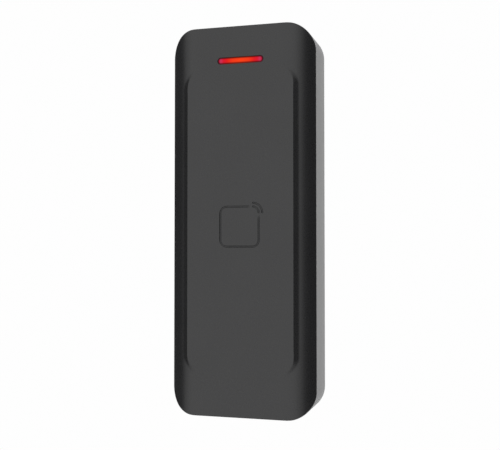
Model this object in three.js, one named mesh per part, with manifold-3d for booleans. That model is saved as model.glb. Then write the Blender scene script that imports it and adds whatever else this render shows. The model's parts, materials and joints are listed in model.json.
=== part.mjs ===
// Slim wall reader for RFID cards: a charcoal cover over a grey housing, hung on a steel wall plate.
// Millimetres. +Z is up, the front faces -Y, and Y = 0 is the wall that the plate is screwed to.

import * as THREE from 'three';
import * as BufferGeometryUtils from 'three/addons/utils/BufferGeometryUtils.js';
import Module from 'manifold-3d';

const wasm = await Module();
wasm.setup();

// ---------- Driving dimensions ----------

const height = 128;
const width = 49;
const depth = 20;
const cornerRadius = 8.6;

// Cover
const shoulderWidth = 10.5;       // from the side to where the front is flat
const shoulderDrop = 5;           // how far a shoulder has fallen where it meets the housing
const panelSideInset = 6.5;       // raised middle panel, carried on over the falling shoulders
const panelEndInset = 13;
const panelCornerRadius = 7;
const panelWallRun = 1.28;        // sideways run of the panel's sloping edge for each mm of depth
const panelDepth = 1.8;
const frontWall = 2;
const sideWall = 3.6;
const tongueWall = 1.2;
const tongueDepth = 2;

// Light bar
const barLength = 15.5;
const barHeight = 2;
const barFromTop = 11.4;
const barRecess = 0.2;
const barFlange = 1.1;
const barFlangeDepth = 1;

// Engraved tap symbol
const symbolSize = 13.2;
const symbolZ = -1.9;
const symbolLine = 0.5;
const symbolDepth = 0.35;
const symbolRadius = 2.1;
const waveRadius = 3.45;

// Housing
const housingWall = 2.2;
const floorThickness = 1.5;
const recessDepth = 2.5;          // room behind the floor for the wall plate
const rimSetback = 0.3;           // between the housing's rear edge and the wall
const gasketWidth = 0.6;
const gasketHeight = 0.8;
const gasketInset = 0.9;

// Wall plate
const plateThickness = 1.5;
const plateGap = 1;               // all round, inside the housing's rim
const hookHalfWidth = 11;
const hookReach = 5.2;
const hookThickness = 1.2;
const hookLip = 0.9;
const lipHalfWidth = 5;
const lipReach = 8;
const cableWindow = { halfWidth: 9, low: -30, high: -6 };

// Boards
const boardThickness = 1.6;
const boardStandoff = 6.4;        // from the housing's floor to the main board
const boardHalfWidth = 21;
const antennaThickness = 0.8;
const antenna = { halfWidth: 14.5, low: -27, high: 24 };
const coilWidth = 1.6;
const coilThickness = 0.3;
const ferriteThickness = 0.3;

// Fasteners
const caseScrew = { shankRadius: 0.95, headRadius: 2.5, headHeight: 1.6, length: 9.4 };
const caseScrewInset = { side: 7.5, end: 9.5 };
const boardScrew = { shankRadius: 0.7, headRadius: 1.9, headHeight: 1.2, length: 6 };
const lockScrew = { depth: 5.5, shankRadius: 1.4, headRadius: 2.8, headHeight: 1.7, length: 5.8 };
const nutSide = 5.6;
const nutHeight = 2.2;

// Grommet
const grommet = {
  z: -18,
  hole: 3.2,
  neck: 4.8,
  flange: 6.2,
  flangeHeight: 1.2,
  rearRadius: 5.8,
  rearHeight: 0.6,
};

// Switches
const tamper = {
  x: 10,
  z: 38,
  body: 7,
  bodyHeight: 3.4,
  plungerRadius: 1.2,
  headRadius: 1.8,
  travel: 0.8,
};
const dip = {
  x: -9,
  z: 18,
  length: 11,
  width: 6.2,
  bodyHeight: 3.6,
  ways: 4,
  pitch: 2.54,
  travel: 1.8,
};
const dipSlot = { halfWidth: 0.75, halfLength: 1.9, depth: 1.2 };

// Clearances
const gap = 0.3;                  // between pieces that move or were cut to each other
const slip = 0.2;                 // between pieces that slide into place and stay
const play = 0.8;                 // round the wall plate's lip, for tilting the head

// ---------- Derived places ----------

const front = -depth;
const parting = front + shoulderDrop;
const shoulderFlatHalf = width / 2 - shoulderWidth;
const shoulderRadius = (shoulderWidth ** 2 + shoulderDrop ** 2) / (2 * shoulderDrop);
const panelHalfWidth = width / 2 - panelSideInset;
const panelHalfHeight = height / 2 - panelEndInset;
const barZ = height / 2 - barFromTop;
const caseScrewX = width / 2 - caseScrewInset.side;
const caseScrewZ = height / 2 - caseScrewInset.end;
const innerFront = front + frontWall;
const floorRear = -recessDepth;
const floorFront = floorRear - floorThickness;
const boardRear = floorFront - boardStandoff;
const boardFace = boardRear - boardThickness;
const plateFace = -plateThickness;
const plateHalfWidth = width / 2 - housingWall - plateGap;
const plateHalfHeight = height / 2 - housingWall - 1.3;
const recessHalfHeight = height / 2 - housingWall;
const antennaFace = innerFront + 0.8;
const antennaRear = antennaFace + antennaThickness;
const boardHalfHeight = height / 2 - housingWall - 1.8;
const postRadius = 2.5;
const bossRadius = 3.2;
const boardShoulder = caseScrewZ - bossRadius - 0.8;
const boardPosts = [
  { x: -boardHalfWidth + 3.2, z: 32, screwed: true },
  { x: boardHalfWidth - 3.2, z: 32, screwed: false },
  { x: -boardHalfWidth + 3.2, z: -32, screwed: false },
  { x: boardHalfWidth - 3.2, z: -32, screwed: true },
];
const caseCorners = [[-1, 1], [1, 1], [-1, -1], [1, -1]];

// ---------- Shapes ----------

const arcSteps = 5;               // each quarter round gets twice as many sides

// A rounded rectangle standing in the X-Z plane.
function roundedRect(halfWidth, halfHeight, radius, x = 0, z = 0) {
  const shape = new THREE.Shape();
  const w = halfWidth - radius;
  const h = halfHeight - radius;
  shape.absarc(x + w, z + h, radius, 0, Math.PI / 2);
  shape.absarc(x - w, z + h, radius, Math.PI / 2, Math.PI);
  shape.absarc(x - w, z - h, radius, Math.PI, 1.5 * Math.PI);
  shape.absarc(x + w, z - h, radius, 1.5 * Math.PI, 2 * Math.PI);
  shape.closePath();
  return shape;
}

// The outline of the whole reader, drawn in by a distance.
function outline(inset) {
  return roundedRect(width / 2 - inset, height / 2 - inset, cornerRadius - inset);
}

// A shape in the X-Z plane, carried from one depth to another.
function slab(shape, yLow, yHigh, steps = arcSteps) {
  const geometry = new THREE.ExtrudeGeometry(shape, {
    depth: yHigh - yLow,
    bevelEnabled: false,
    curveSegments: steps,
  });
  geometry.rotateX(Math.PI / 2);
  geometry.translate(0, yHigh, 0);
  return solid(geometry);
}

function block(xLow, xHigh, yLow, yHigh, zLow, zHigh) {
  const geometry = new THREE.BoxGeometry(xHigh - xLow, yHigh - yLow, zHigh - zLow);
  geometry.translate((xLow + xHigh) / 2, (yLow + yHigh) / 2, (zLow + zHigh) / 2);
  return solid(geometry);
}

// A round bar along Y, standing at x and z.
function barY(radius, yLow, yHigh, x, z, sides = 16) {
  const geometry = new THREE.CylinderGeometry(radius, radius, yHigh - yLow, sides);
  geometry.translate(x, (yLow + yHigh) / 2, z);
  return solid(geometry);
}

// A round bar along Z, standing at x and y.
function barZAxis(radius, zLow, zHigh, x, y, sides = 16) {
  const geometry = new THREE.CylinderGeometry(radius, radius, zHigh - zLow, sides);
  geometry.rotateX(Math.PI / 2);
  geometry.translate(x, y, (zLow + zHigh) / 2);
  return solid(geometry);
}

// A block with sloping sides between two outlines of equal point counts.
function frustum(shapeLow, yLow, shapeHigh, yHigh) {
  const low = shapeLow.getPoints(arcSteps).slice(0, -1);
  const high = shapeHigh.getPoints(arcSteps).slice(0, -1);
  const count = low.length;
  const points = [];
  low.forEach((p) => points.push(p.x, yLow, p.y));
  high.forEach((p) => points.push(p.x, yHigh, p.y));
  const faces = [];
  THREE.ShapeUtils.triangulateShape(low, []).forEach(([a, b, c]) => {
    faces.push(a, b, c);
    faces.push(count + a, count + c, count + b);
  });
  for (let i = 0; i < count; i += 1) {
    const next = (i + 1) % count;
    faces.push(i, count + next, next);
    faces.push(i, count + i, count + next);
  }
  const geometry = new THREE.BufferGeometry();
  geometry.setAttribute('position', new THREE.Float32BufferAttribute(points, 3));
  geometry.setIndex(faces);
  return solid(geometry);
}

// A closed geometry as a solid that can be joined and cut.
function solid(geometry) {
  geometry.deleteAttribute('normal');
  geometry.deleteAttribute('uv');
  const merged = BufferGeometryUtils.mergeVertices(geometry, 1e-5);
  const mesh = new wasm.Mesh({
    numProp: 3,
    vertProperties: new Float32Array(merged.attributes.position.array),
    triVerts: new Uint32Array(merged.index.array),
  });
  return new wasm.Manifold(mesh);
}

function joined(...parts) {
  return parts.reduce((sum, part) => sum.add(part));
}

function cutBy(body, ...cutters) {
  return cutters.reduce((left, cutter) => left.subtract(cutter), body);
}

const reader = new THREE.Group();

// Puts a finished solid into the model as a named mesh with its own material.
function piece(name, body, finish) {
  const { vertProperties, triVerts } = body.getMesh();
  const geometry = new THREE.BufferGeometry();
  geometry.setAttribute('position', new THREE.BufferAttribute(new Float32Array(vertProperties), 3));
  geometry.setIndex(new THREE.BufferAttribute(new Uint32Array(triVerts), 1));
  geometry.computeVertexNormals();
  const mesh = new THREE.Mesh(geometry, new THREE.MeshStandardMaterial(finish));
  mesh.name = name;
  reader.add(mesh);
  return mesh;
}

// ---------- Finishes ----------

const charcoalPlastic = { color: 0x2b2b2c, roughness: 0.5, metalness: 0 };
const greyPlastic = { color: 0x858585, roughness: 0.45, metalness: 0 };
const redLens = { color: 0xd8240f, roughness: 0.25, metalness: 0 };
const whitePlastic = { color: 0xe8e8e4, roughness: 0.5, metalness: 0 };
const blackRubber = { color: 0x161616, roughness: 0.8, metalness: 0 };
const zincSteel = { color: 0xb9bcbd, roughness: 0.4, metalness: 1 };
const greenBoard = { color: 0x14532d, roughness: 0.45, metalness: 0 };
const copper = { color: 0xb8622e, roughness: 0.35, metalness: 1 };
const ferriteGrey = { color: 0x3a3a3d, roughness: 0.7, metalness: 0 };
const chipBlack = { color: 0x1c1c1e, roughness: 0.6, metalness: 0 };
const silverCan = { color: 0xc4c6c8, roughness: 0.3, metalness: 1 };
const dipBlue = { color: 0x1f4f8f, roughness: 0.5, metalness: 0 };

// ---------- Front cover ----------

// The front's cross-section: flat in the middle, with round shoulders, and open to the wall.
function shoulderProfile(halfWidth, inset) {
  const radius = shoulderRadius - inset;
  const centreY = front + shoulderRadius;
  const run = Math.min(halfWidth - shoulderFlatHalf, radius);
  const sweep = Math.asin(run / radius);
  const shape = new THREE.Shape();
  shape.moveTo(-halfWidth, 0);
  shape.absarc(-shoulderFlatHalf, centreY, radius, 1.5 * Math.PI - sweep, 1.5 * Math.PI);
  shape.absarc(shoulderFlatHalf, centreY, radius, 1.5 * Math.PI, 1.5 * Math.PI + sweep);
  shape.lineTo(halfWidth, 0);
  shape.closePath();
  return shape;
}

function alongHeight(shape, halfHeight) {
  const geometry = new THREE.ExtrudeGeometry(shape, {
    depth: 2 * halfHeight,
    bevelEnabled: false,
    curveSegments: arcSteps,
  });
  geometry.translate(0, 0, -halfHeight);
  return solid(geometry);
}

// The rounded square that says where to tap, with its upper right corner set apart and one wave beside it.
function tapSymbol() {
  const half = symbolSize / 2;
  const yLow = front - 1;
  const yHigh = front + symbolDepth;
  const ring = cutBy(
    slab(roundedRect(half, half, symbolRadius, 0, symbolZ), yLow, yHigh, 3),
    slab(roundedRect(half - symbolLine, half - symbolLine, symbolRadius - symbolLine, 0, symbolZ),
      yLow - 1, yHigh + 1, 3),
  );
  const corner = half - symbolRadius;
  const topBreak = 0.8;
  const sideBreak = 1.2;
  const broken = cutBy(
    ring,
    block(corner - topBreak, corner, yLow - 1, yHigh + 1, symbolZ + half - 1, symbolZ + half + 1),
    block(half - 1, half + 1, yLow - 1, yHigh + 1, symbolZ + corner - sideBreak, symbolZ + corner),
  );
  const wave = new THREE.Shape();
  const cx = corner;
  const cz = symbolZ + corner;
  wave.absarc(cx, cz, waveRadius + symbolLine / 2, 0, Math.PI / 2);
  wave.absarc(cx, cz, waveRadius - symbolLine / 2, Math.PI / 2, 0, true);
  wave.closePath();
  return [broken, slab(wave, yLow, yHigh, 3)];
}

function panel() {
  const grow = panelWallRun * panelDepth;
  return frustum(
    roundedRect(panelHalfWidth, panelHalfHeight, panelCornerRadius),
    front,
    roundedRect(panelHalfWidth + grow, panelHalfHeight + grow, panelCornerRadius + grow),
    front + panelDepth,
  );
}

const bossEnd = floorFront - 4;
const coverBosses = caseCorners.map(([sx, sz]) => (
  barY(bossRadius, innerFront - 0.5, bossEnd - gap, sx * caseScrewX, sz * caseScrewZ, 14)
));
const pilotRadius = caseScrew.shankRadius + slip;
const coverPilots = caseCorners.map(([sx, sz]) => (
  barY(pilotRadius, innerFront + 1.5, bossEnd + 1, sx * caseScrewX, sz * caseScrewZ, 10)
));
const antennaPegs = [];
[-1, 1].forEach((sx) => {
  [-1, 1].forEach((sz) => {
    const pegZ = (antenna.low + antenna.high) / 2 + sz * 17;
    antennaPegs.push(barY(1.2, innerFront - 0.5, antennaFace, sx * 9, pegZ, 10));
  });
});

const coverShell = slab(outline(0), front - 1, parting)
  .intersect(alongHeight(shoulderProfile(width / 2, 0), height / 2));
const coverHollow = slab(outline(sideWall), front - 1, parting + 1)
  .intersect(alongHeight(shoulderProfile(width / 2 - housingWall, frontWall), height / 2));
const tongue = cutBy(
  slab(outline(sideWall - tongueWall), parting - 0.8, parting + tongueDepth),
  slab(outline(sideWall), parting - 2, parting + tongueDepth + 1),
);
const slotHalfHeight = barHeight / 2 + slip;
const barSlot = roundedRect(barLength / 2 + slip, slotHalfHeight, slotHalfHeight - 0.001, 0, barZ);

piece('front_cover', cutBy(
  joined(cutBy(joined(coverShell, panel()), coverHollow), tongue, ...coverBosses, ...antennaPegs),
  ...coverPilots,
  slab(barSlot, front - 1, innerFront + 1, 3),
  ...tapSymbol(),
), charcoalPlastic);

// ---------- Light bar, light box and lamps ----------

const lensHalf = barLength / 2 - gap / 3;
const lensRise = barHeight / 2 - gap / 3;
const lampXs = [-5, 0, 5];
const boxHalfWidth = barLength / 2 + 1.45;
const boxHalfHeight = barHeight / 2 + 1.7;
const boxWall = 0.9;
const lampHeight = 1.2;

piece('light_bar', joined(
  slab(roundedRect(lensHalf, lensRise, lensRise - 0.001, 0, barZ), front + barRecess, innerFront + 0.2, 3),
  slab(roundedRect(barLength / 2 + barFlange, barHeight / 2 + barFlange, 1, 0, barZ),
    innerFront, innerFront + barFlangeDepth, 2),
), redLens);

piece('light_box', cutBy(
  block(-boxHalfWidth, boxHalfWidth, innerFront + barFlangeDepth, boardFace,
    barZ - boxHalfHeight, barZ + boxHalfHeight),
  block(-boxHalfWidth + boxWall, boxHalfWidth - boxWall, innerFront, boardFace + 1,
    barZ - boxHalfHeight + boxWall, barZ + boxHalfHeight - boxWall),
), whitePlastic);

lampXs.forEach((x, index) => {
  const lamp = block(x - 1.6, x + 1.6, boardFace - lampHeight, boardFace, barZ - 1.4, barZ + 1.4);
  piece(`led_${index + 1}`, lamp, whitePlastic);
});

// ---------- Rear housing ----------

const hook = {
  top: plateHalfHeight,
  bottom: plateHalfHeight - hookThickness,
  lipTop: plateHalfHeight + hookLip,
};
const ribBottom = hook.top + gap;
const pocketFront = -hookReach - 1.3;
const pocketLow = hook.bottom - 2.3;
const pocketWall = 1.5;
const lip = { top: -plateHalfHeight + hookThickness, bottom: -plateHalfHeight };
const lipPocketFloor = lip.bottom - play;
const nutLow = lip.top + gap;
const nutTop = nutLow + nutHeight;
const lockY = -lockScrew.depth;
const lockPocketFront = -lipReach - play;
const lockPocketHalf = lipHalfWidth + 1;
const nutPocketHalf = nutSide / 2 + slip;
const lockSeat = -height / 2 + lockScrew.headHeight + 0.1;

function housingShell() {
  const inner = roundedRect(width / 2 - housingWall, recessHalfHeight, cornerRadius - housingWall);
  return cutBy(
    slab(outline(0), parting, -rimSetback),
    slab(inner, parting - 1, floorFront),
    slab(inner, floorRear, 1),
  );
}

// The pocket at the top edge that drops over the wall plate's hook, with the rib that hangs on it.
function hookPocket() {
  const half = hookHalfWidth + 1.5;
  const wall = block(-half - pocketWall, half + pocketWall, pocketFront - pocketWall, floorFront + 0.5,
    pocketLow - pocketWall, recessHalfHeight + 0.5);
  const hollow = block(-half, half, pocketFront, 1, pocketLow, recessHalfHeight);
  const rib = block(-half - 0.5, half + 0.5, -3.6, -2.2, ribBottom, recessHalfHeight + 0.5);
  return { wall, hollow, rib };
}

// The pocket at the bottom edge that takes the wall plate's forked lip, and the nut above it.
function lockPocket() {
  const half = lockPocketHalf + pocketWall;
  const wall = block(-half, half, lockPocketFront - 1.3, floorFront + 0.5, -recessHalfHeight - 0.5,
    nutTop + 0.5 + pocketWall);
  const lipHollow = block(-lockPocketHalf, lockPocketHalf, lockPocketFront, floorRear + 1,
    lipPocketFloor, nutLow + 0.1);
  const nutHollow = block(-nutPocketHalf, nutPocketHalf, lockPocketFront, floorRear + 1,
    nutLow, nutTop + 0.5);
  return { wall, lipHollow, nutHollow };
}

const topPocket = hookPocket();
const bottomPocket = lockPocket();
const housingBosses = caseCorners.map(([sx, sz]) => (
  barY(caseScrew.headRadius + 1.3, bossEnd, floorRear, sx * caseScrewX, sz * caseScrewZ, 16)
));
const bossHoles = caseCorners.flatMap(([sx, sz]) => [
  barY(caseScrew.shankRadius + gap, bossEnd - 1, 0, sx * caseScrewX, sz * caseScrewZ, 10),
  barY(caseScrew.headRadius + gap, -4.6, 0, sx * caseScrewX, sz * caseScrewZ, 14),
]);
const posts = boardPosts.map(({ x, z }) => barY(postRadius, boardRear, floorFront + 0.5, x, z, 12));
const screwedPosts = boardPosts.filter(({ screwed }) => screwed);
const postHoles = screwedPosts.map(({ x, z }) => (
  barY(boardScrew.shankRadius + slip, boardRear - 1, boardRear + boardScrew.length, x, z, 8)
));
// Low pads behind the floor, by which the housing sits on the wall plate.
const seatPads = boardPosts.map(({ x, z }) => (
  barY(2, floorRear - 0.5, plateFace - gap, x * 0.94, z * 0.55, 10)
));
const dipWindow = block(dip.x - dip.length / 2 - 1, dip.x + dip.length / 2 + 1, floorFront - 1, 0,
  dip.z - dip.width / 2 - 1, dip.z + dip.width / 2 + 1);
const gasketGroove = cutBy(
  slab(outline(gasketInset - slip), parting - 1, parting + gasketHeight + slip / 2),
  slab(outline(gasketInset + gasketWidth + slip), parting - 2, parting + gasketHeight + 1),
);
const lockHole = joined(
  barZAxis(lockScrew.shankRadius + gap, -height / 2 - 1, lipPocketFloor + 1, 0, lockY, 12),
  barZAxis(lockScrew.headRadius + gap, -height / 2 - 1, lockSeat, 0, lockY, 16),
);

piece('rear_housing', cutBy(
  joined(
    cutBy(
      joined(housingShell(), topPocket.wall, bottomPocket.wall, ...housingBosses, ...posts),
      topPocket.hollow,
      bottomPocket.lipHollow,
      bottomPocket.nutHollow,
      ...bossHoles,
      ...postHoles,
    ),
    topPocket.rib,
    ...seatPads,
  ),
  gasketGroove,
  dipWindow,
  lockHole,
  barY(tamper.headRadius + 0.4, floorFront - 1, 0, tamper.x, tamper.z, 14),
  barY(grommet.neck + slip, floorFront - 1, 0, 0, grommet.z, 20),
), greyPlastic);

piece('case_gasket', cutBy(
  slab(outline(gasketInset), parting, parting + gasketHeight),
  slab(outline(gasketInset + gasketWidth), parting - 1, parting + gasketHeight + 1),
), blackRubber);

// ---------- Wall plate ----------

const plateSlots = [45, -47];

piece('wall_plate', cutBy(
  joined(
    slab(roundedRect(plateHalfWidth, plateHalfHeight, 4.5), plateFace, 0, 3),
    block(-hookHalfWidth, hookHalfWidth, -hookReach, plateFace + 0.5, hook.bottom, hook.top),
    block(-hookHalfWidth, hookHalfWidth, -hookReach, -hookReach + 1, hook.bottom, hook.lipTop),
    block(-lipHalfWidth, lipHalfWidth, -lipReach, plateFace + 0.5, lip.bottom, lip.top),
  ),
  block(-cableWindow.halfWidth, cableWindow.halfWidth, -3, 1, cableWindow.low, cableWindow.high),
  block(-lockScrew.shankRadius - 0.4, lockScrew.shankRadius + 0.4, -lipReach - 1,
    lockY + lockScrew.shankRadius + 0.4, lip.bottom - 1, lip.top + 1),
  ...plateSlots.map((z) => slab(roundedRect(5, 2.2, 2.199, 0, z), -3, 1, 4)),
  ...[-1, 1].flatMap((side) => [
    slab(roundedRect(3, 9, 2.9, side * 13, -46), -3, 1, 3),
    slab(roundedRect(2.2, 2.2, 2.199, side * 15.5, 0), -3, 1, 3),
  ]),
), zincSteel);

// ---------- Boards ----------

const pocketRelief = block(-lockPocketHalf - 2, lockPocketHalf + 2, lockPocketFront - 1.5, boardRear + 1,
  -height / 2, nutTop + 2.5);
const boardOutline = joined(
  block(-boardHalfWidth, boardHalfWidth, boardFace, boardRear, -boardShoulder, boardShoulder),
  block(-13, 13, boardFace, boardRear, -boardHalfHeight, boardHalfHeight),
);

piece('main_board', cutBy(
  boardOutline,
  pocketRelief,
  ...screwedPosts.map(({ x, z }) => (
    barY(boardScrew.shankRadius + 0.4, boardFace - 1, boardRear + 1, x, z, 10)
  )),
), greenBoard);

const antennaMidZ = (antenna.low + antenna.high) / 2;
const antennaHalfHeight = (antenna.high - antenna.low) / 2;
const coilOuter = { w: antenna.halfWidth - 0.8, h: antennaHalfHeight - 0.8 };
const headerZ = antenna.low + 4.2;

piece('antenna_board', block(-antenna.halfWidth, antenna.halfWidth, antennaFace, antennaRear,
  antenna.low, antenna.high), greenBoard);

piece('antenna_coil', cutBy(
  slab(roundedRect(coilOuter.w, coilOuter.h, 3, 0, antennaMidZ), antennaFace - coilThickness, antennaFace, 3),
  slab(roundedRect(coilOuter.w - coilWidth, coilOuter.h - coilWidth, 3 - coilWidth, 0, antennaMidZ),
    antennaFace - 1, antennaFace + 1, 3),
), copper);

piece('ferrite_sheet', block(-antenna.halfWidth + 1.5, antenna.halfWidth - 1.5, antennaRear,
  antennaRear + ferriteThickness, headerZ + 2, antenna.high - 1.5), ferriteGrey);

piece('antenna_header', block(-3.8, 3.8, antennaRear, boardFace, headerZ - 1.25, headerZ + 1.25), chipBlack);

// Square and rectangular parts soldered to the main board: centre x and z, size along x and z, height.
function onFront(name, x, z, sizeX, sizeZ, rise, finish) {
  const halfX = sizeX / 2;
  const halfZ = sizeZ / 2;
  piece(name, block(x - halfX, x + halfX, boardFace - rise, boardFace, z - halfZ, z + halfZ), finish);
}

onFront('controller_chip', 0, 34, 10, 10, 1.4, chipBlack);
onFront('reader_chip', 0, 6, 5, 5, 0.9, chipBlack);
onFront('crystal', 8, 6, 5, 3.2, 1.2, silverCan);
onFront('line_driver', 11, 38, 4, 5, 1.5, chipBlack);
onFront('regulator', -12, -36, 6.5, 7, 1.7, chipBlack);
onFront('power_inductor', -3.5, -36, 6, 6, 3, ferriteGrey);

[-34, -43].forEach((z, index) => {
  piece(`capacitor_${index + 1}`, barY(3.15, innerFront + 0.6, boardFace, 6, z, 20), silverCan);
});

piece('buzzer', cutBy(
  barY(4.8, innerFront + 1, boardFace, -8, -49, 24),
  barY(0.8, innerFront, innerFront + 2, -8, -49, 8),
), chipBlack);

piece('surge_suppressor', block(12, 16.6, boardRear, boardRear + 2.3, -25, -21.4), chipBlack);

// ---------- Cable inlet ----------

const headerHalf = 12;
const headerLow = -39.5;
const headerHigh = -33.5;
const headerRise = boardStandoff - 1;
const headerWall = 0.9;
const pinRadius = 0.32;
const pinCount = 10;

const headerPins = Array.from({ length: pinCount }, (_, i) => {
  const x = -headerHalf + (2 * headerHalf) * ((i + 0.5) / pinCount);
  return block(x - pinRadius, x + pinRadius, boardRear + 0.5, boardRear + headerRise - 0.8,
    (headerLow + headerHigh) / 2 - pinRadius, (headerLow + headerHigh) / 2 + pinRadius);
});

piece('cable_header', joined(cutBy(
  block(-headerHalf - 1, headerHalf + 1, boardRear, boardRear + headerRise, headerLow, headerHigh),
  block(-headerHalf, headerHalf, boardRear + 1, boardRear + headerRise + 1,
    headerLow + headerWall, headerHigh - headerWall),
), ...headerPins), whitePlastic);

// A ring of rubber in the housing's floor: a flange on each side of it and a neck through it.
const grommetProfile = [
  [grommet.hole, floorRear + grommet.rearHeight],
  [grommet.hole, floorFront - grommet.flangeHeight],
  [grommet.flange, floorFront - grommet.flangeHeight],
  [grommet.flange, floorFront],
  [grommet.neck, floorFront],
  [grommet.neck, floorRear],
  [grommet.rearRadius, floorRear],
  [grommet.rearRadius, floorRear + grommet.rearHeight],
  [grommet.hole, floorRear + grommet.rearHeight],
];
const grommetGeometry = new THREE.LatheGeometry(
  grommetProfile.map(([r, y]) => new THREE.Vector2(r, y)),
  20,
);
grommetGeometry.translate(0, 0, grommet.z);
piece('cable_grommet', solid(grommetGeometry), blackRubber);

// ---------- Tamper switch ----------

const plungerTip = plateFace - gap;
const switchTop = boardRear + tamper.bodyHeight;
const plungerTail = switchTop - tamper.travel - 0.8;

piece('tamper_switch', cutBy(
  block(tamper.x - tamper.body / 2, tamper.x + tamper.body / 2, boardRear, switchTop,
    tamper.z - tamper.body / 2, tamper.z + tamper.body / 2),
  barY(tamper.plungerRadius + gap, plungerTail - tamper.travel - gap, switchTop + 1, tamper.x, tamper.z, 12),
), chipBlack);

piece('tamper_plunger', joined(
  barY(tamper.plungerRadius, plungerTail, plungerTip - 0.5, tamper.x, tamper.z, 12),
  barY(tamper.headRadius, plungerTip - 1.2, plungerTip, tamper.x, tamper.z, 16),
), whitePlastic);

// ---------- Option switches ----------

const dipTop = boardRear + dip.bodyHeight;
const dipXs = Array.from({ length: dip.ways }, (_, i) => dip.x + dip.pitch * (i - (dip.ways - 1) / 2));
const sliderHalf = dipSlot.halfLength - gap - dip.travel / 2;

piece('option_switch', cutBy(
  block(dip.x - dip.length / 2, dip.x + dip.length / 2, boardRear, dipTop,
    dip.z - dip.width / 2, dip.z + dip.width / 2),
  ...dipXs.map((x) => block(x - dipSlot.halfWidth, x + dipSlot.halfWidth, dipTop - dipSlot.depth, dipTop + 1,
    dip.z - dipSlot.halfLength, dip.z + dipSlot.halfLength)),
), dipBlue);

dipXs.forEach((x, index) => {
  const centre = dip.z - dip.travel / 2;
  piece(`option_slider_${index + 1}`, block(x - dipSlot.halfWidth + 0.25, x + dipSlot.halfWidth - 0.25,
    dipTop - dipSlot.depth + gap, dipTop + 0.5, centre - sliderHalf, centre + sliderHalf), whitePlastic);
});

// ---------- Fasteners ----------

// A pan-headed screw along Y: the head at the low or the high end, with a cross recess cut into it.
function screwY(spec, x, z, underHead, direction) {
  const tip = underHead - direction * spec.length;
  const crown = underHead + direction * spec.headHeight;
  const shank = barY(spec.shankRadius, Math.min(tip, underHead + direction * 0.3),
    Math.max(tip, underHead + direction * 0.3), x, z, 10);
  const head = barY(spec.headRadius, Math.min(underHead, crown), Math.max(underHead, crown), x, z, 16);
  const slotDepth = spec.headHeight * 0.5;
  const slotLow = direction > 0 ? crown - slotDepth : crown - 1;
  const slotHigh = direction > 0 ? crown + 1 : crown + slotDepth;
  const reach = spec.headRadius * 0.55;
  const slotHalf = spec.headRadius * 0.13;
  return cutBy(
    joined(shank, head),
    block(x - reach, x + reach, slotLow, slotHigh, z - slotHalf, z + slotHalf),
    block(x - slotHalf, x + slotHalf, slotLow, slotHigh, z - reach, z + reach),
  );
}

caseCorners.forEach(([sx, sz], index) => {
  piece(`case_screw_${index + 1}`, screwY(caseScrew, sx * caseScrewX, sz * caseScrewZ, -4.6, 1), zincSteel);
});

screwedPosts.forEach(({ x, z }, index) => {
  piece(`board_screw_${index + 1}`, screwY(boardScrew, x, z, boardFace, -1), zincSteel);
});

piece('lock_screw', cutBy(
  joined(
    barZAxis(lockScrew.headRadius, lockSeat - lockScrew.headHeight, lockSeat, 0, lockY, 18),
    barZAxis(lockScrew.shankRadius, lockSeat - 0.3, lockSeat + lockScrew.length, 0, lockY, 12),
  ),
  barZAxis(1.3, lockSeat - lockScrew.headHeight - 1, lockSeat - 0.6, 0, lockY, 6),
), zincSteel);

piece('lock_nut', cutBy(
  block(-nutSide / 2, nutSide / 2, lockY - nutSide / 2, lockY + nutSide / 2, nutLow, nutTop),
  barZAxis(lockScrew.shankRadius + slip, nutLow - 1, nutTop + 1, 0, lockY, 12),
), zincSteel);

export default reader;
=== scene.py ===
# %% [markdown]
# # A slim wall reader for RFID cards
# The reader is a charcoal cover over a grey housing, and it hangs on a steel wall plate. The construction
# model carries the inner parts, the screws and the plate. This script loads it as a fixed frame, makes the
# two moulded shells, the light bar and the rubber parts again as fine surfaces, and gives every part the
# finish of the real material. Lengths are in metres: X runs to the right, Y into the wall, Z up.

# %% Load the frame
import json
import math

import bmesh
import bpy
import numpy as np
from mathutils import Matrix, Vector


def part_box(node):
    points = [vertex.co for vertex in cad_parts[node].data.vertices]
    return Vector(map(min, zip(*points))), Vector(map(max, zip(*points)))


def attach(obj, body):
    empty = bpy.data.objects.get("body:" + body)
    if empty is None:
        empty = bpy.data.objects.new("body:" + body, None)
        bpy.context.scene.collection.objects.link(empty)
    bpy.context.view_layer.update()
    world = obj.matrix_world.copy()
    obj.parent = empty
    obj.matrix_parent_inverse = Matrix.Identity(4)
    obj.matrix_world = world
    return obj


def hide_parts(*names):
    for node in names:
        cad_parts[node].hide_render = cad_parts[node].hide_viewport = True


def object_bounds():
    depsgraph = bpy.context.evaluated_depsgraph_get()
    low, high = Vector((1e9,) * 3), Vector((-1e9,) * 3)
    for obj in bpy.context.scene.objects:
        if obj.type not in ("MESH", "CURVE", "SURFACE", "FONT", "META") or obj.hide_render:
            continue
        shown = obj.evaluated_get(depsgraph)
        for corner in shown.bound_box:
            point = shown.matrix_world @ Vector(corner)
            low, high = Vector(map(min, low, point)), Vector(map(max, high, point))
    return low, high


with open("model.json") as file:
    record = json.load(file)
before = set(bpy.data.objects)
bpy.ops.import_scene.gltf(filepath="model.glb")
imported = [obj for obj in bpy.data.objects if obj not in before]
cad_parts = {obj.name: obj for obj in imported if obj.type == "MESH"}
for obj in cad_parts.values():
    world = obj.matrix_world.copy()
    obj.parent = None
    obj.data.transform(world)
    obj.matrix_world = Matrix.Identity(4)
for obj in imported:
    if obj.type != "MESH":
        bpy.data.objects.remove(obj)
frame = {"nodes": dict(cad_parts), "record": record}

nodes = frame["nodes"]
cad_low, cad_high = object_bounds()
print("CAD box", [round(v * 1000, 1) for v in cad_high - cad_low], "mm,", len(nodes), "nodes")

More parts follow.
